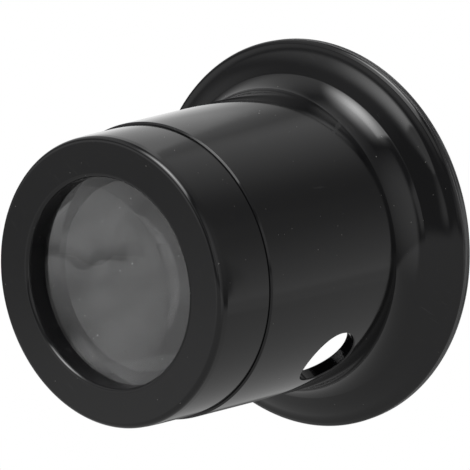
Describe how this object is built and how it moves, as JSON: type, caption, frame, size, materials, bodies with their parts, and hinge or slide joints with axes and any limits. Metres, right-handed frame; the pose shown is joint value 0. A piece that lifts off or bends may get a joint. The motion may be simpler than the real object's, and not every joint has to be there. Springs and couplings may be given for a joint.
{
  "type": "watchmaker loupe",
  "caption": "Glossy black eye loupe with a flared eye cup, a round vent hole in its barrel and a screw-on front cap that holds a double-convex lens.",
  "frame": {"origin": "centre of the eye cup's rim, on the plane the rim rests on", "axes": "+Z along the optical axis, from the rim towards the front cap; the vent hole faces -Y"},
  "size_m": [0.04, 0.0398, 0.0312],
  "materials": {
    "black_plastic": "polished black moulding",
    "cap_plastic": "polished black moulding",
    "lens_glass": "clear, polished"
  },
  "bodies": {
    "body": {"body": "black_plastic"},
    "lens": {"lens": "lens_glass"},
    "cap": {"front_cap": "cap_plastic"}
  },
  "joints": [
    {"name": "cap_lift", "type": "slide", "parent": "body", "child": "lens", "axis": [0, 0, 1], "range_m": [0, 0.003]},
    {"name": "cap_turn", "type": "hinge", "parent": "lens", "child": "cap", "pos_m": [0, 0, 0.0278], "axis": [0, 0, 1], "range_deg": [0, 1080]}
  ],
  "couplings": [
    {"joint": "cap_lift", "follows": "cap_turn", "m_per_rad": 0.00015915}
  ]
}
